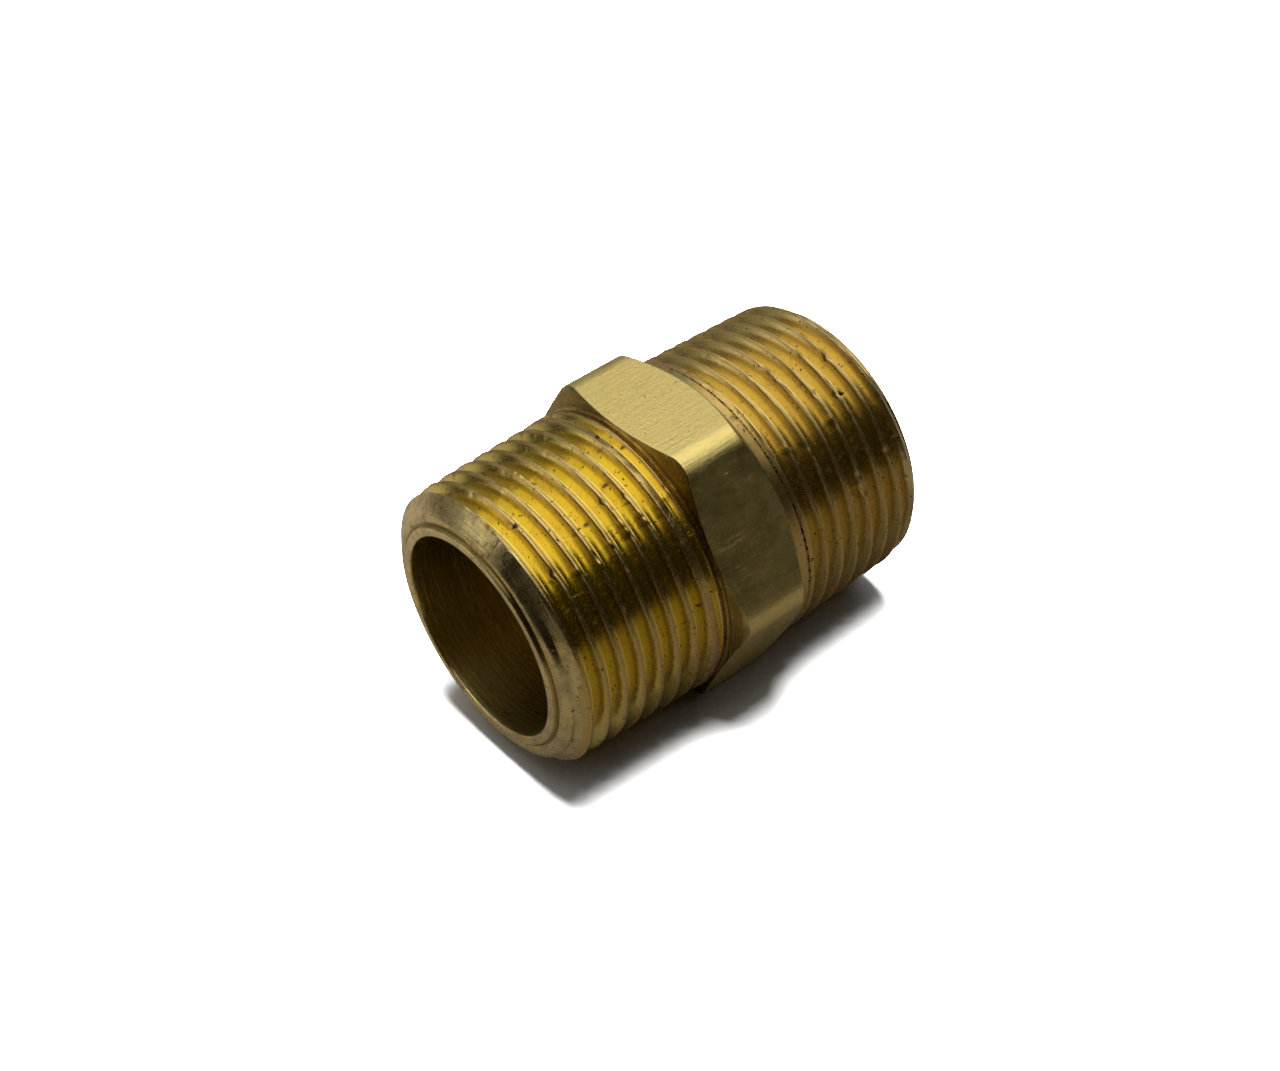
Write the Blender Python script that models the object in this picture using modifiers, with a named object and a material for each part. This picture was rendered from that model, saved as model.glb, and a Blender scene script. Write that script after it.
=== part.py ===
"""Hex nipple, 3/4-14 NPT: a brass pipe fitting with a male taper thread on each side of a wrench hex.

The fitting is one solid piece, turned from hexagonal bar. It is modelled upright, with its flow axis
along the local Z axis, and then laid on its side: the flow axis is world X, and the fitting rests on
one flat of the hex. The end at world -X is the front end.
"""

import math

import bmesh
import bpy

MM = 0.001

# Thread: 3/4-14 NPT, right-handed at both ends
PITCH = 25.4 / 14 * MM
TAPER = 1 / 32  # growth of the thread's radius per unit of length, from each end towards the hex
CREST_RADIUS = 13.0 * MM  # at the first full crest
CREST_FLAT = 0.25 * MM
THREAD_DEPTH = 1.25 * MM
FLANK_SLOPE = math.tan(math.radians(30))
FIRST_CREST = 1.21 * MM  # from each end face to the first full crest, along the line where they face up
REAR_TURNS = 7  # full turns between the last rear crest and the run-out beside the hex
RUN_OUT_LENGTH = PITCH  # the groove rises to the surface over this length beside the hex
FRONT_RUN_OUT_END = 0.5 * PITCH  # from the run-out's end to the middle of the hex's front edge

# Body
LENGTH = 39.0 * MM
BORE_RADIUS = 9.525 * MM
FRONT_FACE_RADIUS = 11.4 * MM
REAR_FACE_RADIUS = 12.0 * MM
END_CHAMFER = 1.2 * MM  # along the axis

# Wrench hex
ACROSS_FLATS = 26.99 * MM
CORNER_RADIUS = 1.75 * MM
HEX_FRONT = -3.30 * MM  # height at which the front chamfer meets the middle of a flat
HEX_REAR = 4.55 * MM
FRONT_CHAMFER_SLOPE = math.tan(math.radians(23.5))
REAR_CHAMFER_SLOPE = math.tan(math.radians(35))

# Neck between the front thread and the hex
NECK_RADIUS = 12.6 * MM
NECK_WIDTH = 0.35 * MM

TURN_STEPS = 36
CORNER_STEPS = 4
CUT_MARGIN = 0.5 * MM
SHARP_EDGE = math.radians(25)

LAID_ON_SIDE = (0, math.pi / 2, 0)


def clear_scene():
    for obj in list(bpy.data.objects):
        bpy.data.objects.remove(obj, do_unlink=True)


def new_collection(name, is_helper=False):
    collection = bpy.data.collections.new(name)
    bpy.context.scene.collection.children.link(collection)
    collection.hide_render = is_helper
    return collection


def add_mesh_object(name, collection, shape=None):
    """An object laid on its side, with the mesh that a bmesh holds, or with an empty one."""
    mesh_data = bpy.data.meshes.new(name)
    if shape:
        shape.to_mesh(mesh_data)
        shape.free()
    obj = bpy.data.objects.new(name, mesh_data)
    obj.rotation_euler = LAID_ON_SIDE
    collection.objects.link(obj)
    return obj


def add_cutter(name, collection, shape):
    obj = add_mesh_object(name, collection, shape)
    obj.hide_render = True
    obj.display_type = "WIRE"
    return obj


def add_boolean(obj, name, operation, other):
    modifier = obj.modifiers.new(name, "BOOLEAN")
    modifier.operation = operation
    modifier.solver = "EXACT"
    modifier.object = other


def crest_radius(from_end):
    """Radius of the thread's crests at this distance from the nearer end face."""
    return CREST_RADIUS + TAPER * (from_end - FIRST_CREST)


def body_profile():
    """(radius, height) points: down the outer side from rear to front, then back up the bore."""
    half = LENGTH / 2
    flat = ACROSS_FLATS / 2
    flange = flat / math.cos(math.pi / 6)  # outside the rounded corners, which the bar stock sets

    def rear_chamfer(radius):
        return HEX_REAR - REAR_CHAMFER_SLOPE * (radius - flat)

    def front_chamfer(radius):
        return HEX_FRONT + FRONT_CHAMFER_SLOPE * (radius - flat)

    collar_radius = crest_radius(half - HEX_REAR)
    neck_front = front_chamfer(NECK_RADIUS) - NECK_WIDTH
    return [
        (REAR_FACE_RADIUS, half),
        (crest_radius(END_CHAMFER), half - END_CHAMFER),
        (collar_radius, rear_chamfer(collar_radius)),
        (flange, rear_chamfer(flange)),
        (flange, front_chamfer(flange)),
        (NECK_RADIUS, front_chamfer(NECK_RADIUS)),
        (NECK_RADIUS, neck_front),
        (crest_radius(half + neck_front), neck_front),
        (crest_radius(END_CHAMFER), END_CHAMFER - half),
        (FRONT_FACE_RADIUS, -half),
        (BORE_RADIUS, -half),
        (BORE_RADIUS, half),
    ]


def add_turned_body(collection):
    """The body as a lathe leaves it, with a round flange where the hex will be."""
    body = add_mesh_object("nipple_body", collection)
    profile = body_profile()
    points = [(radius, 0, height) for radius, height in profile]
    edges = [(index, (index + 1) % len(profile)) for index in range(len(profile))]
    body.data.from_pydata(points, edges, [])
    screw = body.modifiers.new("Turn", "SCREW")
    screw.axis = "Z"
    screw.angle = 2 * math.pi
    screw.steps = TURN_STEPS
    screw.render_steps = TURN_STEPS
    screw.use_merge_vertices = True
    screw.merge_threshold = 0.01 * MM
    screw.use_smooth_shade = True
    return body


def add_bar_stock(cutters):
    """Hexagonal bar with rounded corners, longer than the fitting, two of its flats across local X."""
    shape = bmesh.new()
    corner_distance = ACROSS_FLATS / 2 / math.cos(math.pi / 6)
    bmesh.ops.create_cone(
        shape,
        cap_ends=True,
        segments=6,
        radius1=corner_distance,
        radius2=corner_distance,
        depth=LENGTH + 2 * CUT_MARGIN,
    )
    # A bevel's offset is measured along the flats, back from each corner.
    bmesh.ops.bevel(
        shape,
        geom=[edge for edge in shape.edges if edge.calc_length() > LENGTH],
        offset=CORNER_RADIUS * math.tan(math.pi / 6),
        segments=CORNER_STEPS,
        profile=0.5,
        affect="EDGES",
    )
    return add_cutter("bar_stock", cutters, shape)


def groove_section(depth):
    """(height, lift) points of a V groove's cutter, from its middle and the crest surface."""
    half_width = (PITCH - CREST_FLAT) / 2
    root_half_width = half_width - THREAD_DEPTH * FLANK_SLOPE
    flank_top = THREAD_DEPTH - depth
    outer = flank_top + THREAD_DEPTH + CUT_MARGIN
    return [
        (half_width, flank_top),
        (half_width, outer),
        (-half_width, outer),
        (-half_width, flank_top),
        (-root_half_width, -depth),
        (root_half_width, -depth),
    ]


def add_thread_cutter(name, cutters, first, last, run_out, end):
    """A V groove along a right-handed taper helix.

    first and last are the heights of the groove's ends on the side that faces up once the fitting lies
    down, local -X. run_out is the height where the groove has risen clear of the surface, and end is +1
    for the rear thread or -1 for the front one.
    """
    shape = bmesh.new()
    rings = []
    for index in range(round((last - first) / PITCH * TURN_STEPS) + 1):
        turn = index / TURN_STEPS
        height = first + turn * PITCH
        angle = math.pi + 2 * math.pi * turn
        surface = crest_radius(LENGTH / 2 - end * height)
        fade = 1 - min(max((height - run_out) * end / RUN_OUT_LENGTH, 0), 1)
        depth = THREAD_DEPTH * (1 - fade) - CUT_MARGIN * fade
        ring = []
        for offset, lift in groove_section(depth):
            radius = surface + lift
            corner = (radius * math.cos(angle), radius * math.sin(angle), height + offset)
            ring.append(shape.verts.new(corner))
        rings.append(ring)
    for before, after in zip(rings, rings[1:]):
        for index in range(len(before)):
            shape.faces.new((before[index - 1], before[index], after[index], after[index - 1]))
    shape.faces.new(rings[0])
    shape.faces.new(rings[-1])
    bmesh.ops.recalc_face_normals(shape, faces=shape.faces)
    return add_cutter(name, cutters, shape)


def add_front_thread_cutter(cutters):
    first = FIRST_CREST - LENGTH / 2 - 1.5 * PITCH
    run_out = HEX_FRONT - FRONT_RUN_OUT_END
    return add_thread_cutter("front_thread_cutter", cutters, first, run_out, run_out, -1)


def add_rear_thread_cutter(cutters):
    last_crest = LENGTH / 2 - FIRST_CREST
    run_out = last_crest - (REAR_TURNS + 0.5) * PITCH
    return add_thread_cutter("rear_thread_cutter", cutters, run_out, last_crest + 1.5 * PITCH, run_out, 1)


def cut_and_shade(body):
    """Makes the cut solid the body's own mesh, smooth except across its edges."""
    graph = bpy.context.evaluated_depsgraph_get()
    solid = bpy.data.meshes.new_from_object(body.evaluated_get(graph))
    body.modifiers.clear()
    body.data = solid
    solid.name = body.name
    solid.shade_smooth()
    solid.set_sharp_from_angle(angle=SHARP_EDGE)


def brass():
    material = bpy.data.materials.new("brass")
    material.use_nodes = True
    shader = material.node_tree.nodes["Principled BSDF"]
    shader.inputs["Base Color"].default_value = (0.62, 0.47, 0.20, 1)
    shader.inputs["Metallic"].default_value = 1
    shader.inputs["Roughness"].default_value = 0.38
    return material


def build():
    clear_scene()
    parts = new_collection("hex_nipple")
    cutters = new_collection("cutters", is_helper=True)
    body = add_turned_body(parts)
    add_boolean(body, "Bar stock", "INTERSECT", add_bar_stock(cutters))
    add_boolean(body, "Front thread", "DIFFERENCE", add_front_thread_cutter(cutters))
    add_boolean(body, "Rear thread", "DIFFERENCE", add_rear_thread_cutter(cutters))
    cut_and_shade(body)
    body.data.materials.clear()
    body.data.materials.append(brass())


build()
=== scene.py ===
"""Looks of the brass hex nipple: fine threads, turned faces, wrench hex and bore, in worn machined brass.

Lengths are millimetres until the mesh is made. The fitting's axis is X, and its middle is at the origin.
An angle round the axis is counted from the top (+Z) towards the side at -Y. The front end is at -X.
"""

import math

import bpy
import numpy as np
from mathutils import Matrix, Vector


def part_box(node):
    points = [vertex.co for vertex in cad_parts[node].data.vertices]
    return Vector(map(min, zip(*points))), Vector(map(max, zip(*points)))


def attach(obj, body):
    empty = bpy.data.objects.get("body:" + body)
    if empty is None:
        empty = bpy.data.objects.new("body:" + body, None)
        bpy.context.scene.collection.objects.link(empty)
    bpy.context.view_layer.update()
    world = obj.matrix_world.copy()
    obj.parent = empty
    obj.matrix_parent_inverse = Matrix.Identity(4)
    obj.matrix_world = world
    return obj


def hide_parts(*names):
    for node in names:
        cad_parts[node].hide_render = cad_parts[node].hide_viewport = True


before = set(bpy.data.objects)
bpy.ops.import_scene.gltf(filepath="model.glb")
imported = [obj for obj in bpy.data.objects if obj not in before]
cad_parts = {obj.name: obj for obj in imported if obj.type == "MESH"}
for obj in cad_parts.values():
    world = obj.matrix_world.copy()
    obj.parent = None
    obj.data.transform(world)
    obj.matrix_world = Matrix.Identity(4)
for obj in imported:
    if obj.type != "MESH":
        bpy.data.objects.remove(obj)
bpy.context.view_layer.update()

low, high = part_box("nipple_body")
METRE = 1000.0

# ------------------------------------------------ sizes: the frame gives the overall ones, the rest is NPT
HALF_LENGTH = high.x * METRE
FLAT = high.z * METRE  # from the axis to a flat of the hex
PITCH = 25.4 / 14
TAPER = 1 / 32
FIRST_CREST = 1.21  # from each end to its first crest, at the top
CREST_RADIUS = 13.0
GROOVE = 0.785  # half width of a full groove at the crests
FLANK = math.tan(math.radians(30))
BORE_RADIUS = 9.525
CORNER_RADIUS = 2.65
HEX_FRONT, HEX_REAR = -3.30, 4.55
FRONT_CHAMFER_SLOPE = math.tan(math.radians(23.5))
REAR_CHAMFER_SLOPE = math.tan(math.radians(35))
NECK_FRONT = -3.95  # where the front thread's last ridge drops into the neck
NECK_RADIUS = 12.6
COLLAR_START = 4.62  # where the rear thread's blank leaves the hex
COLLAR_WIDTH = 0.58  # of the plain band there, before the thread's first groove

FLAT_COLUMNS, CORNER_COLUMNS = 50, 10
SECTOR = FLAT_COLUMNS + CORNER_COLUMNS
COLUMNS = 6 * SECTOR
CORNER_CENTRE = (FLAT - CORNER_RADIUS) / math.cos(math.pi / 6)
FLAT_ANGLE = math.atan2(CORNER_CENTRE / 2, FLAT)  # from a flat's middle to where its corner's arc begins

rng = np.random.default_rng(14)


def column_angles():
    """Angles of the columns of points, closer together on the six round corners."""
    half = CORNER_COLUMNS / 2
    steps = (np.arange(COLUMNS) + SECTOR / 2) % SECTOR
    sectors = (np.arange(COLUMNS) + SECTOR // 2) // SECTOR
    places = [0, half, SECTOR - half, SECTOR]
    sixth = math.pi / 6
    return sectors * math.pi / 3 + np.interp(steps, places, [-sixth, -FLAT_ANGLE, FLAT_ANGLE, sixth])


ANGLES = column_angles()


def hex_radius(angle):
    """Distance from the axis to the surface of the hex bar."""
    off = np.abs((angle + math.pi / 6) % (math.pi / 3) - math.pi / 6)
    short = CORNER_CENTRE * np.sin(math.pi / 6 - off)
    rise = np.sqrt(CORNER_RADIUS**2 - np.minimum(short, CORNER_RADIUS) ** 2)
    on_corner = CORNER_CENTRE * np.cos(math.pi / 6 - off) + rise
    return np.where(off < FLAT_ANGLE, FLAT / np.cos(off), on_corner)


def crest_radius(x):
    """Radius of the thread's blank, which tapers towards both ends."""
    return CREST_RADIUS + TAPER * (HALF_LENGTH - np.abs(x) - FIRST_CREST)


# ------------------------------------------------ the threads
def smoothed(values, width):
    """Values along a line, averaged over a bell-shaped window."""
    reach = int(3 * width) + 1
    bell = np.exp(-0.5 * (np.arange(-reach, reach + 1) / width) ** 2)
    return np.convolve(values, bell / bell.sum(), mode="same")


BEADS = (  # bright specks of torn brass standing on the crests: place along the axis, angle in degrees
    (-12.85, -6), (-12.75, -3), (-10.85, 51), (-16.60, 38), (-14.62, 41), (-9.08, 35), (-9.05, 38),
    (-7.25, 15), (-7.22, 35), (-7.18, 38), (-16.40, 54), (-14.80, -2), (-18.55, 17), (7.48, 42),
    (9.35, 54), (11.05, 12), (14.70, 12), (12.90, 41), (16.45, 17), (-4.30, 34), (-12.55, 43),
    (-10.95, 39),
)
CHIPS = (  # dark chips beside the crests, given in the same way
    (-7.15, 1.5), (-5.20, 0), (-8.50, 83), (-5.05, 8), (-12.05, -2), (-16.45, 15), (-8.85, 28),
    (-8.75, 17), (-10.65, 40), (-18.15, 9), (-14.35, 28), (15.8, 34), (11.4, 22), (-6.60, 79),
    (-12.30, 27),
)


def ridge(value, place, width):
    """A bell-shaped ridge of height 1."""
    return np.exp(-(((value - place) / width) ** 2))


def closeness(places, x, angle, reach):
    """How near each point on a thread is to one of the places, from 0 to 1."""
    near = np.zeros(np.shape(x))
    for place, degrees in places:
        across = (angle - math.radians(degrees) + math.pi) % (2 * math.pi) - math.pi
        near = np.maximum(near, 1 - np.hypot(x - place, across * CREST_RADIUS) / reach)
    return near


class Thread:
    """One end's helical thread, as a radius for each place along the axis and angle round it."""

    TURNS = 11
    FULL_GROOVE = 0.3  # a groove of this half width or more has its whole burr
    ROOT, ROOT_SWELL, ROOT_REACH = 0.84, 0.08, 0.16  # depth of the rounded root, as shares of a sharp V
    DEEP = 1.17  # from this depth on, a groove's depth counts as 1
    LIP, LIP_PLACE, LIP_WIDTH = 0.046, 0.048, 0.035  # the burr along each edge of a crest
    VALLEY, VALLEY_REACH = 0.022, 0.06  # how far a crest's middle is under its blank, between the burrs
    ROLL, ROLL_DEPTH = 0.03, 0.08  # how a flank rounds over towards its crest
    NICK, NICK_PLACE, NICK_WIDTH = 0.24, 0.02, 0.10  # dents in the crests' edges
    FLAKE, FLAKE_PLACE, FLAKE_WIDTH = 0.20, 0.03, 0.06  # flakes standing up from them
    BEAD, BEAD_REACH = 0.16, 0.34  # height and size of the beads
    CHIP_DEPTH, CHIP_REACH = 0.05, 0.4
    DIRT, DIRTY_RAMP = 0.54, 0.15  # painted shade that darkens a narrow groove, in full once it is this much narrower than a full one

    def __init__(self, first_groove, first_turn):
        self.first_groove = first_groove
        self.first_turn = first_turn
        count = self.TURNS * COLUMNS
        self.lips = [self.wander(count) for _ in range(2)]
        self.nicks = [self.marks(count, 0.024, 0.7) for _ in range(2)]
        self.flakes = [self.marks(count, 0.004, 0.9) for _ in range(2)]

    @staticmethod
    def wander(count):
        """How high the burr stands along the helix, as a share of its usual height."""
        slow = smoothed(rng.normal(size=count), 5)
        quick = smoothed(rng.normal(size=count), 1.2)
        return np.clip(0.8 + 1.6 * slow + 0.7 * quick, 0.0, 2.0)

    @staticmethod
    def marks(count, share, width):
        """A few short marks along the helix, from 0 to 1."""
        return smoothed((rng.random(count) < share) * rng.uniform(0.3, 1, count), width)

    def widths(self, centre):
        """Half width of the groove centred there, and how far it is shifted along the axis."""
        raise NotImplementedError

    def groove_depth(self, off, edge, half, full):
        """Depth under the crests, for places off the groove's middle and past its edge."""
        place = np.abs(off) / np.maximum(half, 1e-6)
        root = self.ROOT + self.ROOT_SWELL * (1 - np.minimum(place / self.ROOT_REACH, 1) ** 2)
        depth = np.minimum(1 - place, root) * half / FLANK
        depth = depth - self.ROLL * (1 - np.exp(np.minimum(edge, 0) / self.ROLL_DEPTH)) * full
        return np.where(edge < 0, depth, 0)

    def wear(self, off, edge, full, along):
        """Burrs, dents and flakes along the crests' edges, as a height."""
        lip, nick, flake = (
            np.where(off > 0, after[along], before[along])
            for before, after in (self.lips, self.nicks, self.flakes)
        )
        burr = self.LIP * lip * ridge(edge, self.LIP_PLACE, self.LIP_WIDTH)
        crest = np.where(edge > 0, self.VALLEY * (1 - np.exp(-edge / self.VALLEY_REACH)), 0)
        bump = (burr - crest) * full - self.NICK * nick * ridge(edge, self.NICK_PLACE, self.NICK_WIDTH)
        return bump + self.FLAKE * flake * ridge(edge, self.FLAKE_PLACE, self.FLAKE_WIDTH)

    def radius(self, x, angle, column):
        """Radius, depth from 0 to 1, place across the groove and painted shade in narrow grooves, for
        points on the thread.
        """
        turn = np.floor((x - self.first_groove) / PITCH - angle / (2 * math.pi) + 0.5)
        centre = self.first_groove + PITCH * (turn + angle / (2 * math.pi))
        half, shift = self.widths(centre)
        off = x - centre - shift
        edge = np.abs(off) - half
        full = np.minimum(1, half / self.FULL_GROOVE)
        depth = self.groove_depth(off, edge, half, full)
        along = ((turn - self.first_turn) * COLUMNS + column).astype(int) % (self.TURNS * COLUMNS)
        bump = self.wear(off, edge, full, along)
        bump = bump + self.BEAD * closeness(BEADS, x, angle, self.BEAD_REACH)
        bump = bump - self.CHIP_DEPTH * closeness(CHIPS, x, angle, self.CHIP_REACH)
        # Narrow grooves are darkened: painted shade.
        narrow = np.clip((self.FULL_GROOVE - half) / self.DIRTY_RAMP, 0, 1)
        dirt_and_shade = self.DIRT * narrow * (edge < 0)
        return crest_radius(x) - depth + bump, np.clip(depth / self.DEEP, 0, 1), off, dirt_and_shade


class FrontThread(Thread):
    """The front end's thread, which runs out into the neck."""

    def widths(self, centre):
        half = np.interp(centre, [-6.4, -4.7, -4.0, -3.6], [GROOVE, 0.47, 0.30, 0.0])
        return half, np.zeros_like(half)


class RearThread(Thread):
    """The rear end's thread, which starts as a thin line darkened with painted shade beside the hex and
    widens over a turn.
    """

    SHIFT = 0.94  # how much of a narrow groove's missing half width moves it away from the hex

    def widths(self, centre):
        places = [4.58, 4.63, 4.97, 6.30, 6.60, 7.3]
        half = np.interp(centre, places, [0.0, 0.085, 0.095, 0.62, 0.66, GROOVE])
        return half, self.SHIFT * (GROOVE - half)


FRONT_FACE_RADIUS, FRONT_FACE_EDGE = 11.24, -HALF_LENGTH + 0.11
FRONT_CHAMFER_END, FRONT_CHAMFER_RADIUS, FRONT_SWELL = -HALF_LENGTH + 1.25, 12.97, 0.22
REAR_FACE_RADIUS, REAR_FACE_EDGE = 12.1, HALF_LENGTH - 0.04
REAR_CHAMFER_START, REAR_CHAMFER_RADIUS, REAR_SWELL = HALF_LENGTH - 1.15, 12.99, 0.12
CHAMFER_RISE = 9  # how steeply a chamfer's cone rises past its end, where it no longer cuts
ROUGH_END = HALF_LENGTH - 1.42  # from here to either end the thread is as rough as the turned faces


def chamfer(share, face_radius, end_radius, swell):
    """Radius of a slightly rounded chamfer, for shares of the way from the end face."""
    cone = face_radius + (end_radius - face_radius) * share
    rounding = swell * share * np.clip(1 - share, 0, 1)
    return cone + rounding + np.where(share > 1, CHAMFER_RISE * (share - 1), 0)


def front_chamfer(x):
    share = (x - FRONT_FACE_EDGE) / (FRONT_CHAMFER_END - FRONT_FACE_EDGE)
    return chamfer(share, FRONT_FACE_RADIUS, FRONT_CHAMFER_RADIUS, FRONT_SWELL)


def rear_chamfer(x):
    share = (REAR_FACE_EDGE - x) / (REAR_FACE_EDGE - REAR_CHAMFER_START)
    return chamfer(share, REAR_FACE_RADIUS, REAR_CHAMFER_RADIUS, REAR_SWELL)


# ------------------------------------------------ the mesh: rings of points, joined into one closed skin
THREADS, TURNED, HEX, BORE = range(4)  # the materials, in their order on the mesh
NEAR_END = 0.015  # points nearer than this to a thread's end move onto its end ring
CHAMFER_BURR = 0.45  # a chamfer is rougher where it cuts less than this from the thread
PLAIN_DEPTH = -0.6  # stands for a depth on plain turned surfaces
TURNED_FEED = 1.6  # how much closer together a turned face's tool lines are than a thread's
CHIP_STAIN_REACH = 0.5  # how far a chip darkens the brass round it


class Shell:
    """Rings of points round the axis, and the faces between them."""

    def __init__(self):
        self.points, self.depth, self.along, self.stain_and_shade = [], [], [], []
        self.faces, self.kinds = [], []

    def add(self, x, radius, angle, depth=0.0, along=0.0, stain_and_shade=0.0):
        """Adds points with their values for the materials, and returns their numbers."""
        values = np.broadcast_arrays(x, radius, angle, depth, along, stain_and_shade)
        x, radius, angle, depth, along, stain_and_shade = values
        first = len(self.points)
        y, z = -radius * np.sin(angle), radius * np.cos(angle)
        self.points.extend(zip(x.ravel(), y.ravel(), z.ravel()))
        self.depth.extend(depth.ravel())
        self.along.extend(along.ravel())
        self.stain_and_shade.extend(stain_and_shade.ravel())
        return np.arange(first, len(self.points)).reshape(x.shape)

    def face(self, corners, kind):
        """Adds a face, without the corners that fall together."""
        kept = [int(c) for i, c in enumerate(corners) if c != corners[i - 1]]
        if len(set(kept)) >= 3:
            self.faces.append(kept)
            self.kinds.append(kind)

    def join(self, ring, other, kind):
        """Faces between two rings."""
        for j in range(COLUMNS):
            k = (j + 1) % COLUMNS
            self.face((ring[j], ring[k], other[k], other[j]), kind)

    def rings(self, profile, kind, before=None):
        """Rings for (x, radius, staining and painted shade) rows, which may vary round the axis, joined to
        the ring before.
        """
        length = 0.0
        last = None
        for x, radius, *stain_and_shade in profile:
            place = (float(np.mean(x)), float(np.mean(radius)))
            length += math.dist(place, last) if last else 0.0
            last = place
            ring = self.add(x, radius, ANGLES, along=length, stain_and_shade=stain_and_shade[0] if stain_and_shade else 0.0)
            if before is not None:
                self.join(before, ring, kind)
            before = ring
        return before


GROOVE_ROWS = (-1, -0.96, -0.52, -0.16, 0, 0.16, 0.52, 0.91, 1)  # as shares of a groove's half width
LIP_ROW = 0.048  # from a groove's edge to the row on its burr
ROWS = len(GROOVE_ROWS) + 3  # in one pitch, with a row on each burr and one in the middle of the crest


def thread_rows(thread, angle, first, count):
    """Places along the axis of every row of a thread, at these angles."""
    rows = []
    for turn in range(first, first + count):
        centre = thread.first_groove + PITCH * (turn + angle / (2 * math.pi))
        half, shift = thread.widths(centre)
        rows.append(centre - PITCH / 2)
        rows.append(centre + shift - half - LIP_ROW)
        rows.extend(centre + shift + t * half for t in GROOVE_ROWS)
        rows.append(centre + shift + half + LIP_ROW)
    rows.append(thread.first_groove + PITCH * (first + count - 0.5 + angle / (2 * math.pi)))
    return np.array(rows)


def thread_surface(thread, blank_radius, x, angle, column):
    """Radius of a thread under its chamfer, with the values for its material.

    The depth is negative where the surface is turned: on the chamfer, on the plain collar beside the hex
    and round each end.
    """
    radius, depth, off, dirt_and_shade = thread.radius(x, angle, column)
    blank = blank_radius(x)
    cut = blank < radius
    near_thread = np.clip(1 - (radius - blank) / CHAMFER_BURR, 0.02, 1)
    plain = ((np.abs(x) > ROUGH_END) | (np.abs(x - COLLAR_START) < COLLAR_WIDTH)) & (dirt_and_shade == 0)
    depth = np.where(plain, PLAIN_DEPTH, depth)
    # Real staining round the chips, and painted shade in narrow grooves.
    stain_and_shade = np.maximum(dirt_and_shade, closeness(CHIPS, x, angle, CHIP_STAIN_REACH))
    off = np.where(cut | plain, TURNED_FEED * x, off)
    return np.where(cut, blank, radius), np.where(cut, -near_thread, depth), off, stain_and_shade


def thread_ring(shell, thread, blank_radius, x):
    """The ring of points where a thread's skin ends."""
    surface = thread_surface(thread, blank_radius, np.full(COLUMNS, x), ANGLES, np.arange(COLUMNS))
    radius, depth, off, stain_and_shade = surface
    return shell.add(x, radius, ANGLES, depth, off, stain_and_shade)


def thread_grid(shell, thread, blank_radius, x, start, end):
    """Numbers of the points for each row and column, those past the ends taken from the end rings."""
    ends = [thread_ring(shell, thread, blank_radius, place) for place in (start, end)]
    column = np.arange(COLUMNS + 1)
    around = np.broadcast_to(np.append(ANGLES, 2 * math.pi), x.shape)
    surface = thread_surface(thread, blank_radius, x, around, np.broadcast_to(column, x.shape))
    radius, depth, off, stain_and_shade = surface
    grid = np.zeros(x.shape, int)
    inside = (x > start + NEAR_END) & (x < end - NEAR_END)
    body = inside.copy()
    body[:, -1] = False
    grid[body] = shell.add(x[body], radius[body], around[body], depth[body], off[body], stain_and_shade[body])
    wrapped = column % COLUMNS
    for i in range(len(x)):
        grid[i] = np.where(x[i] <= start + NEAR_END, ends[0][wrapped], grid[i])
        grid[i] = np.where(x[i] >= end - NEAR_END, ends[1][wrapped], grid[i])
    for i in range(len(x)):
        if inside[i, -1]:
            grid[i, -1] = grid[i + ROWS, 0]
    return grid, ends


def add_thread(shell, thread, start, end, blank_radius, first, count):
    """Adds a thread's skin from start to end and returns its first and last rings."""
    x = thread_rows(thread, np.append(ANGLES, 2 * math.pi), first, count)
    grid, ends = thread_grid(shell, thread, blank_radius, x, start, end)
    turned = np.array(shell.depth) < 0
    for i in range(len(x) - 1):
        for j in range(COLUMNS):
            corners = (grid[i, j], grid[i, j + 1], grid[i + 1, j + 1], grid[i + 1, j])
            shell.face(corners, TURNED if turned[list(corners)].sum() > 2 else THREADS)
    return ends


LIP_HEIGHT = 0.25  # of the raised lip round the bore, past the front end


def front_face():
    """The front end: a raised lip round the bore, a step whose corner is darkened with painted shade, and
    a turned shoulder.
    """
    end = -HALF_LENGTH
    lip = end - LIP_HEIGHT
    # The third numbers darken the step's corner and the small groove outside it: painted shade.
    return [
        (end, BORE_RADIUS), (lip + 0.10, BORE_RADIUS + 0.02), (lip + 0.03, BORE_RADIUS + 0.06),
        (lip, BORE_RADIUS + 0.13), (lip - 0.005, 9.95), (lip, 10.24), (lip + 0.03, 10.32),
        (lip + 0.09, 10.37, 0.3), (lip + 0.22, 10.44, 0.7), (end + 0.10, 10.52, 1.0),
        (end + 0.145, 10.58, 1.0), (end + 0.12, 10.66, 0.6), (end + 0.07, 10.74, 0.1),
        (end + 0.05, 10.82), (end + 0.05, 10.92), (end + 0.075, 10.96, 0.4),
        (end + 0.055, 11.0), (end + 0.07, 11.12),
    ]


INNER_RING, OUTER_RING = 13.18, 13.56  # radii of the two fine rings raised on the front cone
RING_WIDTH = 0.03
DARKER_CONE_RADIUS = 13.3  # the front cone is darker outside this: painted shade, partly real grime


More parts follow.
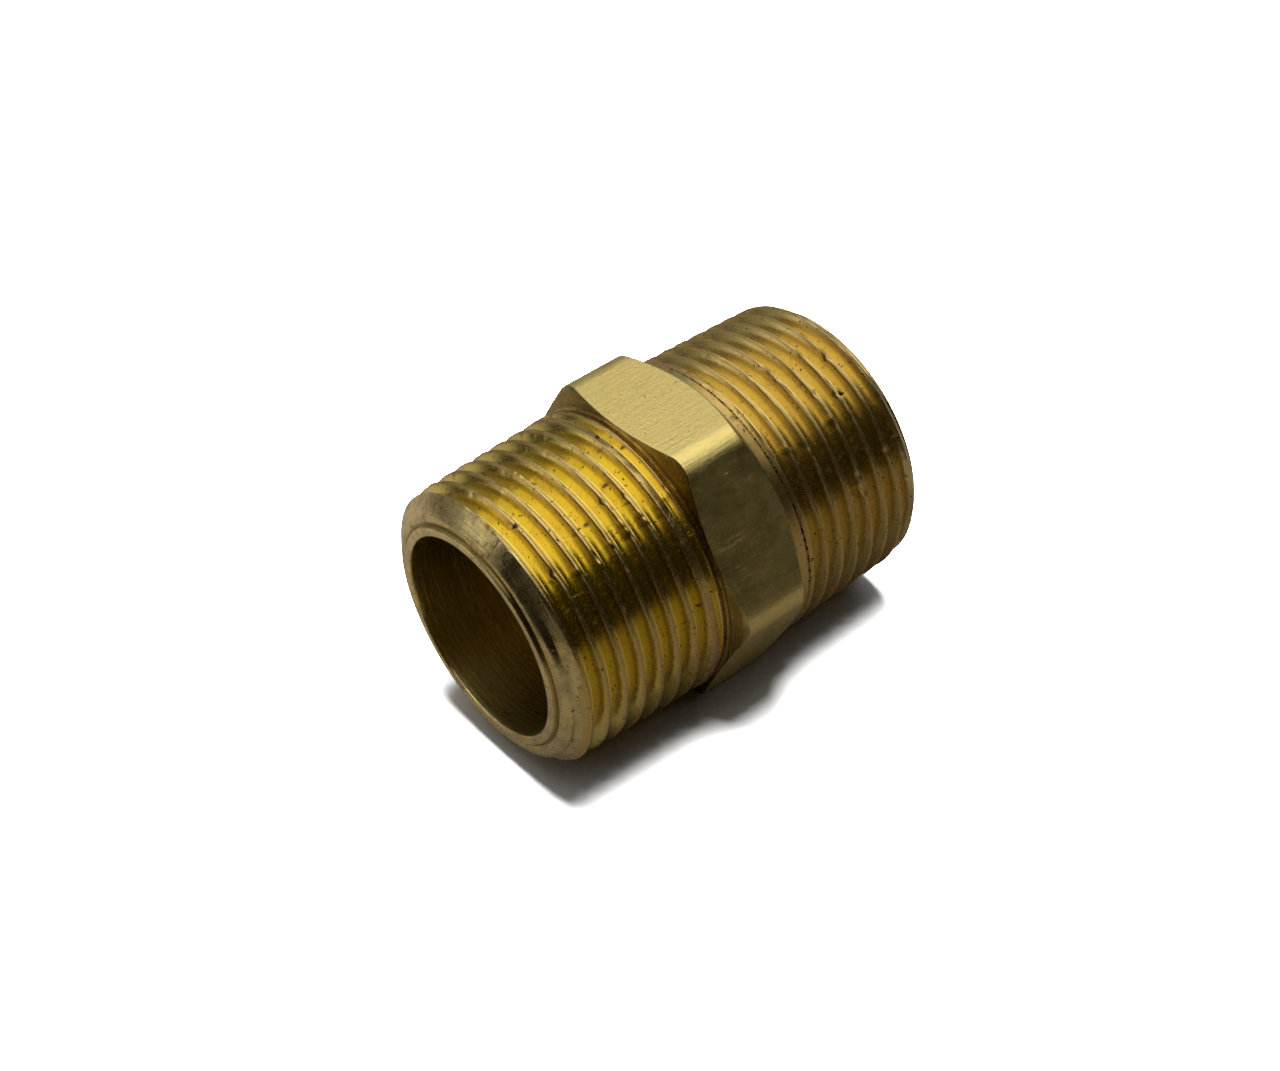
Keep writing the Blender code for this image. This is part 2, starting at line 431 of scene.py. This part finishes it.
def front_cone():
    """From the front thread's last ridge into the neck, and up the cone to the edge of the hex."""
    outer = hex_radius(ANGLES)
    edge = HEX_FRONT + FRONT_CHAMFER_SLOPE * (outer - FLAT)
    # The third numbers darken the neck and the cone: painted shade, partly real grime.
    rows = [
        (NECK_FRONT + 0.04, 12.92), (NECK_FRONT + 0.08, 12.68, 0.5),
        (NECK_FRONT + 0.15, NECK_RADIUS, 0.8), (NECK_FRONT + 0.24, NECK_RADIUS + 0.01, 0.8),
    ]
    inner_rows = [12.74, 12.95, 13.09, 13.14, 13.18, 13.22, 13.27]
    outer_rows = [13.46, 13.52, 13.56, 13.60, 13.66, 13.95, 14.4]
    for radius in inner_rows + outer_rows:
        r = np.minimum(radius, outer - 0.06)
        rings = 0.05 * ridge(r, INNER_RING, RING_WIDTH) + 0.04 * ridge(r, OUTER_RING, RING_WIDTH)
        stain_and_shade = 0.9 if radius > DARKER_CONE_RADIUS else 0.4
        rows.append((HEX_FRONT + FRONT_CHAMFER_SLOPE * (r - FLAT) - rings, r, stain_and_shade))
    rows.append((edge - FRONT_CHAMFER_SLOPE * 0.05, outer - 0.05, 0.3))
    rows.append((edge + 0.012, outer - 0.010))
    return rows, edge


def rear_cone():
    """From the rear edge of the hex down its cone to the rear thread's blank."""
    outer = hex_radius(ANGLES)
    edge = HEX_REAR - REAR_CHAMFER_SLOPE * (outer - FLAT)
    rows = [(edge - 0.012, outer - 0.008)]
    collar = float(crest_radius(COLLAR_START))
    top = outer - 0.012
    for share in (0.03, 0.3, 0.65, 0.97):
        r = top - (top - collar - 0.02) * share
        rows.append((HEX_REAR - REAR_CHAMFER_SLOPE * (r - FLAT), r))
    rows.append((COLLAR_START - 0.02, collar - 0.004))
    return rows, edge


def hex_rows(front, rear):
    """Rows across the flats, between the front and rear edges."""
    outer = hex_radius(ANGLES)
    start, end = front + 0.06, rear - 0.05
    shares = (0, 0.012, 0.2, 0.4, 0.6, 0.8, 0.988, 1)
    return [(start + (end - start) * share, outer) for share in shares]


def rear_face():
    """The rear end: a flat face with one shallow turned groove, and the bore's broken edge."""
    end = HALF_LENGTH
    return [
        (end - 0.01, REAR_FACE_RADIUS - 0.06), (end, REAR_FACE_RADIUS - 0.2), (end, 11.3),
        (end - 0.05, 11.2), (end - 0.05, 11.0), (end, 10.9), (end, BORE_RADIUS + 0.2),
        (end - 0.02, BORE_RADIUS + 0.1), (end - 0.07, BORE_RADIUS + 0.03), (end - 0.16, BORE_RADIUS),
    ]


def bore_rows():
    places = np.linspace(HALF_LENGTH - 0.5, -HALF_LENGTH + 0.5, 8)
    return [(x, BORE_RADIUS) for x in places]


def make_skin():
    """The whole fitting as one closed skin."""
    shell = Shell()
    front = FrontThread(-HALF_LENGTH + FIRST_CREST + PITCH / 2, -3)
    rear = RearThread(HALF_LENGTH - FIRST_CREST - 6.5 * PITCH - 0.01, -5)
    front_ends = add_thread(shell, front, FRONT_FACE_EDGE, NECK_FRONT, front_chamfer, -3, 12)
    rear_ends = add_thread(shell, rear, COLLAR_START, REAR_FACE_EDGE, rear_chamfer, -4, 12)

    mouth, *face = front_face()
    first = shell.add(*mouth, ANGLES)
    ring = shell.rings(face, TURNED, first)
    shell.join(ring, front_ends[0], TURNED)
    cone, front_edge = front_cone()
    back, rear_edge = rear_cone()
    ring = shell.rings(cone, TURNED, front_ends[1])
    ring = shell.rings(hex_rows(front_edge, rear_edge), HEX, ring)
    ring = shell.rings(back, TURNED, ring)
    shell.join(ring, rear_ends[0], TURNED)
    ring = shell.rings(rear_face(), TURNED, rear_ends[1])
    ring = shell.rings(bore_rows(), BORE, ring)
    shell.join(ring, first, BORE)
    return shell


def skin_object(shell, materials):
    """The skin as an object, welded and smoothly shaded."""
    mesh = bpy.data.meshes.new("hex_nipple")
    mesh.from_pydata([Vector(p) / METRE for p in shell.points], [], shell.faces)
    values_by_name = {"groove_depth": shell.depth, "along": shell.along, "stain_and_shade": shell.stain_and_shade}
    for name, values in values_by_name.items():
        mesh.attributes.new(name, "FLOAT", "POINT").data.foreach_set("value", np.array(values, np.float32))
    for material in materials:
        mesh.materials.append(material)
    mesh.polygons.foreach_set("material_index", shell.kinds)
    mesh.shade_smooth()
    piece = bpy.data.objects.new("hex_nipple", mesh)
    bpy.context.scene.collection.objects.link(piece)
    weld = piece.modifiers.new("weld", "WELD")
    weld.merge_threshold = 2e-6
    piece.modifiers.new("normals", "WEIGHTED_NORMAL").keep_sharp = True
    return piece


# ------------------------------------------------ materials
class Nodes:
    """Short calls for building a material's nodes."""

    def __init__(self, name):
        self.material = bpy.data.materials.new(name)
        self.material.use_nodes = True
        self.tree = self.material.node_tree
        self.shader = self.tree.nodes["Principled BSDF"]

    def add(self, kind, inputs=(), **settings):
        node = self.tree.nodes.new(kind)
        for key, value in settings.items():
            setattr(node, key, value)
        for key, value in dict(inputs).items():
            self.put(node.inputs[key], value)
        return node

    def put(self, socket, value):
        if isinstance(value, bpy.types.NodeSocket):
            self.tree.links.new(value, socket)
        else:
            socket.default_value = value

    def math(self, operation, a, b=0.0):
        return self.add("ShaderNodeMath", {0: a, 1: b}, operation=operation).outputs[0]

    def times(self, vector, factors):
        return self.add("ShaderNodeVectorMath", {0: vector, 1: factors}, operation="MULTIPLY").outputs[0]

    def plus(self, vector, other):
        return self.add("ShaderNodeVectorMath", {0: vector, 1: other}, operation="ADD").outputs[0]

    def attribute(self, name):
        return self.add("ShaderNodeAttribute", attribute_name=name).outputs["Fac"]

    def vector(self, x, y, z):
        return self.add("ShaderNodeCombineXYZ", {0: x, 1: y, 2: z}).outputs[0]

    def noise(self, vector, scale, detail=2.0, rough=0.5, w=None):
        inputs = {"Vector": vector, "Scale": scale, "Detail": detail, "Roughness": rough}
        dims = "3D"
        if w is not None:
            inputs["W"] = w
            dims = "4D"
        return self.add("ShaderNodeTexNoise", inputs, noise_dimensions=dims).outputs["Fac"]

    def steps(self, value, start, end, at_start=0.0, at_end=1.0):
        """Maps start..end smoothly onto at_start..at_end."""
        inputs = {0: value, 1: start, 2: end, 3: at_start, 4: at_end}
        return self.add("ShaderNodeMapRange", inputs, interpolation_type="SMOOTHSTEP").outputs[0]

    def mix(self, share, a, b):
        node = self.add("ShaderNodeMix", data_type="RGBA")
        self.put(node.inputs["Factor"], share)
        for socket, value in ((node.inputs[6], a), (node.inputs[7], b)):
            self.put(socket, value)
        return node.outputs[2]


def colour(red, green, blue):
    return (red, green, blue, 1.0)


HEX_BRASS = colour(0.96, 0.765, 0.25)
PALE_HEX_BRASS = colour(0.98, 0.765, 0.285)
FRONT_BRASS = colour(0.87, 0.69, 0.16)  # in the front thread's grooves
REAR_BRASS = colour(0.79, 0.61, 0.215)  # in the rear thread's
CREST_BRASS = colour(0.72, 0.50, 0.16)
PALE_BRASS = colour(0.85, 0.665, 0.26)
DULL_BRASS = colour(0.60, 0.465, 0.22)
BORE_BRASS, DARK_BORE_BRASS = colour(0.75, 0.60, 0.20), colour(0.50, 0.395, 0.13)
TARNISH = colour(0.10, 0.075, 0.045)
# Darkens real staining, and is also painted shade on one flank of each groove, in the front step's corner,
# the neck and the front cone.
STAIN_AND_SHADE_BRASS = colour(0.30, 0.195, 0.03)
# The dark of the chips, also used as painted shade in narrow grooves.
CHIP_AND_SHADE_DARK = colour(0.045, 0.045, 0.06)

# Bump heights in metres
THREAD_BUMP, TURNED_BUMP, HEX_BUMP, BORE_BUMP = 9e-6, 16e-6, 30e-6, 40e-6


def millimetres(n):
    return n.times(n.add("ShaderNodeTexCoord").outputs["Object"], (METRE,) * 3)


def round_axis(n, place):
    """Place along the axis, and the direction from the axis, whose patterns close on themselves."""
    parts = n.add("ShaderNodeSeparateXYZ", {0: place}).outputs
    outward = n.vector(0.0, parts[1], parts[2])
    return parts[0], n.add("ShaderNodeVectorMath", {0: outward}, operation="NORMALIZE").outputs[0]


def finish_brass(n, base, roughness, height, distance):
    """Joins the colour, roughness and bump to the material's shader."""
    n.put(n.shader.inputs["Base Color"], base)
    n.shader.inputs["Metallic"].default_value = 1.0
    n.put(n.shader.inputs["Roughness"], roughness)
    bump = n.add("ShaderNodeBump", {"Height": height, "Distance": distance, "Strength": 1.0})
    n.put(n.shader.inputs["Normal"], bump.outputs[0])
    return n.material


def tool_lines(n, place, along, fineness, length):
    """Fine lines left by a turning tool: narrow along the profile, long round the axis."""
    x, outward = round_axis(n, place)
    around = n.times(outward, (0.0, length, length))
    across = n.vector(n.math("MULTIPLY", along, fineness), 0.0, 0.0)
    return n.noise(n.plus(around, across), 1.0, 2.0, 0.6, w=n.math("MULTIPLY", x, 0.6))


def scratches(n, place, stretch, turn, fineness, share):
    """Thin wandering lines, along X where turn is 0, broken up into short stretches."""
    rotate = n.add("ShaderNodeVectorRotate", {"Vector": place, "Angle": turn}, rotation_type="AXIS_ANGLE")
    wander = n.noise(n.times(rotate.outputs[0], stretch), fineness, 0.0, 0.4)
    line = n.steps(n.math("ABSOLUTE", n.math("SUBTRACT", wander, 0.5)), 0.0, 0.010, 1.0, 0.0)
    patches = n.steps(n.noise(place, 0.55, 1.0), 0.56 - share, 0.64 - share)
    return n.math("MULTIPLY", line, patches)


def thread_material():
    """Bright grooves, redder dull crests, a flank towards the front darkened with painted shade, specks,
    dirty patches and chips.
    """
    n = Nodes("thread_brass")
    place = millimetres(n)
    along, depth = n.attribute("along"), n.attribute("groove_depth")
    lines = tool_lines(n, place, along, 7.0, 4.0)
    cloud = n.noise(place, 0.35, 3.0)
    grain = n.noise(place, 4.0, 3.0, 0.65)
    in_groove = n.steps(depth, 0.02, 0.25)
    dots = n.steps(n.noise(place, 3.2, 1.0, 0.5), 0.69, 0.74)
    dirt_and_shade = n.steps(n.noise(place, 1.6, 4.0, 0.75), 0.62, 0.74)
    dirt_and_shade = n.math("MULTIPLY", dirt_and_shade, n.steps(in_groove, 0, 1, 0.8, 0.15))
    dark = n.math("MAXIMUM", dots, dirt_and_shade)
    marks = scratches(n, place, (1.0, 0.25, 0.25), 0.9, 2.0, 0.0)
    x = round_axis(n, place)[0]
    groove_colour = n.mix(n.steps(x, 0.0, 5.5), FRONT_BRASS, REAR_BRASS)
    base = n.mix(in_groove, CREST_BRASS, groove_colour)
    base = n.mix(n.steps(cloud, 0.4, 0.75, 0.0, 0.3), base, CREST_BRASS)
    # The flank at the front of each groove is darkened: painted shade.
    painted_flank_shade = n.math("MULTIPLY", n.steps(along, -0.52, -0.44, 1.0, 0.0), n.steps(depth, 0.0, 0.03))
    base = n.mix(n.math("MULTIPLY", painted_flank_shade, 0.75), base, STAIN_AND_SHADE_BRASS)
    base = n.mix(n.math("MULTIPLY", dark, 0.8), base, TARNISH)
    # Chips and narrow grooves go dark: real chips, and painted shade in the narrow grooves.
    stain_shade_and_grain = n.math("ADD", n.attribute("stain_and_shade"), n.math("MULTIPLY", grain, 0.9))
    base = n.mix(n.steps(stain_shade_and_grain, 0.92, 1.10), base, CHIP_AND_SHADE_DARK)
    roughness = n.math("ADD", n.steps(grain, 0.3, 0.7, 0.175, 0.225), n.math("MULTIPLY", dark, 0.25))
    roughness = n.math("ADD", roughness, n.steps(in_groove, 0.0, 1.0, 0.09, 0.0))
    roughness = n.math("ADD", roughness, n.steps(x, 0.0, 5.5, 0.0, 0.04))
    height = n.math("ADD", n.math("MULTIPLY", lines, 0.8), n.math("MULTIPLY", grain, 0.22))
    height = n.math("SUBTRACT", height, n.math("MULTIPLY", dark, 1.2))
    height = n.math("SUBTRACT", height, n.math("MULTIPLY", marks, 0.8))
    return finish_brass(n, base, roughness, height, THREAD_BUMP)


def turned_material():
    """Faces cut by a turning tool: fine rings, smudges, specks, and torn metal next to the thread."""
    n = Nodes("turned_brass")
    place = millimetres(n)
    torn = n.steps(n.math("MULTIPLY", n.attribute("groove_depth"), -1.0), 0.3, 1.0, 1.0, 3.5)
    lines = tool_lines(n, place, n.attribute("along"), 7.0, 1.6)
    cloud = n.noise(place, 0.6, 4.0, 0.6)
    grain = n.noise(place, 3.5, 4.0, 0.7)
    specks = n.steps(n.noise(place, 2.4, 1.0, 0.5), 0.70, 0.74)
    smudge = n.steps(n.noise(place, 0.9, 5.0, 0.75), 0.52, 0.70)
    base = n.mix(n.steps(cloud, 0.35, 0.7), PALE_BRASS, DULL_BRASS)
    base = n.mix(n.math("MULTIPLY", smudge, 0.45), base, TARNISH)
    base = n.mix(n.math("MULTIPLY", specks, 0.7), base, TARNISH)
    # Darker round chips, and painted shade in narrow grooves, the front step's corner, the neck and the
    # front cone.
    base = n.mix(n.attribute("stain_and_shade"), base, STAIN_AND_SHADE_BRASS)
    roughness = n.steps(cloud, 0.3, 0.7, 0.21, 0.35)
    height = n.math("ADD", n.math("MULTIPLY", lines, torn), n.math("MULTIPLY", grain, 0.6))
    height = n.math("SUBTRACT", height, n.math("MULTIPLY", specks, 0.8))
    n.shader.inputs["Anisotropic"].default_value = 0.6
    n.shader.inputs["Anisotropic Rotation"].default_value = 0.25
    round_the_axis = n.add("ShaderNodeTangent", direction_type="RADIAL", axis="X")
    n.put(n.shader.inputs["Tangent"], round_the_axis.outputs[0])
    return finish_brass(n, base, roughness, height, TURNED_BUMP)


def hex_material():
    """Flats of drawn bar: lines along the axis, mottling, pits and scratches."""
    n = Nodes("hex_brass")
    place = millimetres(n)
    cloud = n.noise(place, 0.45, 5.0, 0.7)
    mottle = n.noise(place, 2.8, 5.0, 0.7)
    lines = n.noise(n.times(place, (0.3, 5.0, 5.0)), 1.0, 2.0, 0.6)
    pits = n.steps(n.noise(place, 1.9, 3.0, 0.65), 0.69, 0.73)
    marks = n.math("MAXIMUM", scratches(n, place, (0.12, 1.0, 1.0), 0.0, 1.8, 0.05),
                   scratches(n, place, (0.10, 1.0, 1.0), 0.5, 1.1, -0.04))
    base = n.mix(n.steps(cloud, 0.35, 0.68), HEX_BRASS, PALE_HEX_BRASS)
    base = n.mix(n.steps(mottle, 0.45, 0.75, 0.0, 0.32), base, DULL_BRASS)
    base = n.mix(n.math("MULTIPLY", pits, 0.75), base, TARNISH)
    base = n.mix(n.math("MULTIPLY", marks, 0.35), base, DULL_BRASS)
    roughness = n.steps(cloud, 0.3, 0.7, 0.30, 0.40)
    height = n.math("ADD", n.math("MULTIPLY", lines, 0.8), n.math("MULTIPLY", mottle, 1.1))
    height = n.math("SUBTRACT", height, n.math("MULTIPLY", pits, 1.0))
    height = n.math("SUBTRACT", height, n.math("MULTIPLY", marks, 0.22))
    return finish_brass(n, base, roughness, height, HEX_BUMP)


def bore_material():
    """The drilled bore: coarse and fine feed lines, in dark warm brass."""
    n = Nodes("bore_brass")
    x, outward = round_axis(n, millimetres(n))
    around = n.times(outward, (0.0, 1.2, 1.2))

    def feed_lines(fineness, detail):
        across = n.vector(n.math("MULTIPLY", x, fineness), 0.0, 0.0)
        return n.noise(n.plus(around, across), 1.0, detail, 0.7)

    coarse = n.math("MULTIPLY", feed_lines(3.0, 3.0), 0.6)
    fine = n.math("MULTIPLY", feed_lines(9.0, 1.0), 0.4)
    lines = n.math("ADD", coarse, fine)
    base = n.mix(n.steps(lines, 0.35, 0.65), BORE_BRASS, DARK_BORE_BRASS)
    roughness = n.steps(lines, 0.3, 0.7, 0.25, 0.4)
    return finish_brass(n, base, roughness, lines, BORE_BUMP)


def paper_material(name, white, warmth):
    """Plain matt paper."""
    n = Nodes(name)
    warm_white = colour(white, white * (1 - warmth), white * (1 - 2 * warmth))
    n.shader.inputs["Base Color"].default_value = warm_white
    n.shader.inputs["Roughness"].default_value = 0.9
    n.shader.inputs["Specular IOR Level"].default_value = 0.0
    return n.material


def glow_outwards(material):
    """Makes the paper glow more and more away from the fitting, so that it meets the white wall."""
    tree = material.node_tree
    place = tree.nodes.new("ShaderNodeTexCoord").outputs["Object"]
    distance = tree.nodes.new("ShaderNodeVectorMath")
    distance.operation = "LENGTH"
    tree.links.new(place, distance.inputs[0])
    share = tree.nodes.new("ShaderNodeMapRange")
    share.interpolation_type = "SMOOTHSTEP"
    share.inputs["From Min"].default_value = GLOW_START
    share.inputs["From Max"].default_value = 0.8 * WALL_RADIUS
    tree.links.new(distance.outputs["Value"], share.inputs["Value"])
    shader = tree.nodes["Principled BSDF"]
    shader.inputs["Emission Color"].default_value = WHITE
    tree.links.new(share.outputs[0], shader.inputs["Emission Strength"])


# ------------------------------------------------ floor, light and camera
WHITE = colour(1, 1, 1)
FLOOR_WHITE, FLOOR_REACH = 0.70, 4.0
REFLECTED_WHITE, REFLECTED_WARMTH, REFLECTED_REACH = 0.46, 0.08, 0.2
WALL_RADIUS, WALL_HEIGHT = 0.55, 2.0
GLOW_START = 0.12  # from the middle, where the floor begins to glow
FLOOR_LAMP = 26  # how strongly its own lamp lights the floor
FAR_FLOOR_LAMP = 0.011


def make_floor(name, white, warmth, height, reach):
    """A square of paper, which reaches this far from its middle."""
    mesh = bpy.data.meshes.new(name)
    corners = [(-reach, -reach), (reach, -reach), (reach, reach), (-reach, reach)]
    mesh.from_pydata([(x, y, height) for x, y in corners], [], [(0, 1, 2, 3)])
    mesh.materials.append(paper_material(name, white, warmth))
    floor = bpy.data.objects.new(name, mesh)
    bpy.context.scene.collection.objects.link(floor)
    return floor


def make_wall():
    """A white wall round the floor, which only the camera sees, from low angles."""
    bpy.ops.mesh.primitive_cylinder_add(
        vertices=96, radius=WALL_RADIUS, depth=WALL_HEIGHT, end_fill_type="TRIFAN"
    )
    wall = bpy.context.object
    wall.name = "studio_wall"
    wall.location.z = low.z + WALL_HEIGHT / 2 - 0.001
    glow = paper_material("studio_wall", FLOOR_WHITE, 0.0)
    shader = glow.node_tree.nodes["Principled BSDF"]
    shader.inputs["Emission Color"].default_value = WHITE
    shader.inputs["Emission Strength"].default_value = 1.0
    wall.data.materials.append(glow)
    wall.visible_glossy = wall.visible_diffuse = wall.visible_shadow = False


def make_floors():
    """White paper that the camera sees, and darker, warmer paper that the brass reflects in its place."""
    seen = make_floor("studio_floor", FLOOR_WHITE, 0.0, low.z, FLOOR_REACH)
    seen.visible_glossy = seen.visible_diffuse = seen.visible_shadow = False
    glow_outwards(seen.data.materials[0])
    under = low.z - 0.0002
    reflected = make_floor("reflected_floor", REFLECTED_WHITE, REFLECTED_WARMTH, under, REFLECTED_REACH)
    reflected.data.transform(Matrix.Translation((0.08, 0.1, 0)) @ Matrix.Diagonal((0.85, 1.5, 1, 1)))
    reflected.visible_camera = False
    make_wall()
    return seen, reflected


def soft_light(name, centre, size, facing, radiance):
    """A rectangular softbox, with the brightness that it shows as in a mirror."""
    lamp = bpy.data.lights.new(name, "AREA")
    lamp.shape = "RECTANGLE"
    lamp.size, lamp.size_y = size
    lamp.energy = radiance * math.pi * size[0] * size[1]
    light = bpy.data.objects.new(name, lamp)
    light.location = centre
    light.rotation_euler = Vector(facing).to_track_quat("-Z", "Y").to_euler()
    bpy.context.scene.collection.objects.link(light)
    return light


PANEL_HEIGHT = 0.5


def overhead_panel(name, x_range, y_range, radiance):
    """A softbox over the fitting, whose edges are given as shares of its height."""
    (x0, x1), (y0, y1) = x_range, y_range
    centre = ((x0 + x1) / 2 * PANEL_HEIGHT, (y0 + y1) / 2 * PANEL_HEIGHT, PANEL_HEIGHT)
    size = ((x1 - x0) * PANEL_HEIGHT, (y1 - y0) * PANEL_HEIGHT)
    light = soft_light(name, centre, size, (0, 0, -1), radiance)
    light.rotation_euler = (0, 0, 0)


def floor_lamp(name, floor, place, target, size, strength):
    """An oval lamp for one floor alone, whose light the fitting shades."""
    lamp = bpy.data.lights.new(name, "AREA")
    lamp.shape = "ELLIPSE"
    lamp.size, lamp.size_y = size
    lamp.energy = strength * math.pi
    light = bpy.data.objects.new(name, lamp)
    light.location = place
    light.rotation_euler = (Vector(target) - Vector(place)).to_track_quat("-Z", "Y").to_euler()
    bpy.context.scene.collection.objects.link(light)
    lit = bpy.data.collections.new(name + "_lit")
    lit.objects.link(floor)
    light.light_linking.receiver_collection = lit


def make_lights(seen_floor, reflected_floor):
    """A warm dim world, softboxes over and behind the fitting, and the floors' own lamps."""
    world = bpy.data.worlds.new("studio")
    world.use_nodes = True
    world.node_tree.nodes["Background"].inputs["Color"].default_value = colour(1.0, 0.85, 0.65)
    world.node_tree.nodes["Background"].inputs["Strength"].default_value = 0.010
    bpy.context.scene.world = world
    overhead_panel("panel", (-0.5, 0.64), (-0.45, 0.58), 1.12)
    overhead_panel("rear_panel", (0.64, 1.1), (-0.13, 0.58), 1.12)
    overhead_panel("back_panel", (-0.5, 1.3), (0.58, 1.06), 0.70)
    overhead_panel("right_panel", (0.22, 0.64), (-0.83, -0.45), 1.12)
    overhead_panel("left_panel", (-1.3, -0.5), (-0.35, 0.3), 0.3)
    soft_light("back_card", (0.05, 0.7, 0.45), (1.5, 0.9), (0, -1, 0), 0.24)
    soft_light("left_card", (-1.15, 0.7, 0.4), (0.9, 0.8), (0, -1, 0), 0.8)
    floor_lamp("floor_lamp", seen_floor, (0.09, 0.05, 0.98), (0.09, 0.05, 0), (0.42, 0.70), FLOOR_LAMP)
    beside, on_floor = (-0.065, 0.075, 0.045), (-0.033, 0.027, -0.013)
    floor_lamp("far_floor_lamp", reflected_floor, beside, on_floor, (0.03, 0.03), FAR_FLOOR_LAMP)


CAMERA_AZIMUTH = math.radians(35.636)  # from -Y towards -X
CAMERA_ELEVATION = math.radians(41.236)
CAMERA_ROLL = math.radians(-5.729)
CAMERA_DISTANCE = 0.193973
CAMERA_TARGET = Vector((-0.001624, 0.000496, -0.000094))
LENS, SENSOR = 62.372, 36.0


def make_camera():
    """The photo's view."""
    sa, ca = math.sin(CAMERA_AZIMUTH), math.cos(CAMERA_AZIMUTH)
    se, ce = math.sin(CAMERA_ELEVATION), math.cos(CAMERA_ELEVATION)
    back = Vector((-ce * sa, -ce * ca, se))
    level = Vector((ca, -sa, 0))
    right = level * math.cos(CAMERA_ROLL) + back.cross(level) * math.sin(CAMERA_ROLL)
    up = back.cross(right)
    data = bpy.data.cameras.new("camera")
    data.lens, data.sensor_width, data.sensor_fit = LENS, SENSOR, "HORIZONTAL"
    data.clip_start, data.clip_end = 0.01, 20
    camera = bpy.data.objects.new("camera", data)
    turn = Matrix((right, up, back)).transposed().to_4x4()
    camera.matrix_world = Matrix.Translation(CAMERA_TARGET + back * CAMERA_DISTANCE) @ turn
    bpy.context.scene.collection.objects.link(camera)
    bpy.context.scene.camera = camera


bpy.context.scene.view_settings.view_transform = "Standard"
make_camera()
make_lights(*make_floors())
nipple = skin_object(make_skin(), [thread_material(), turned_material(), hex_material(), bore_material()])
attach(nipple, "root")
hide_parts("nipple_body")
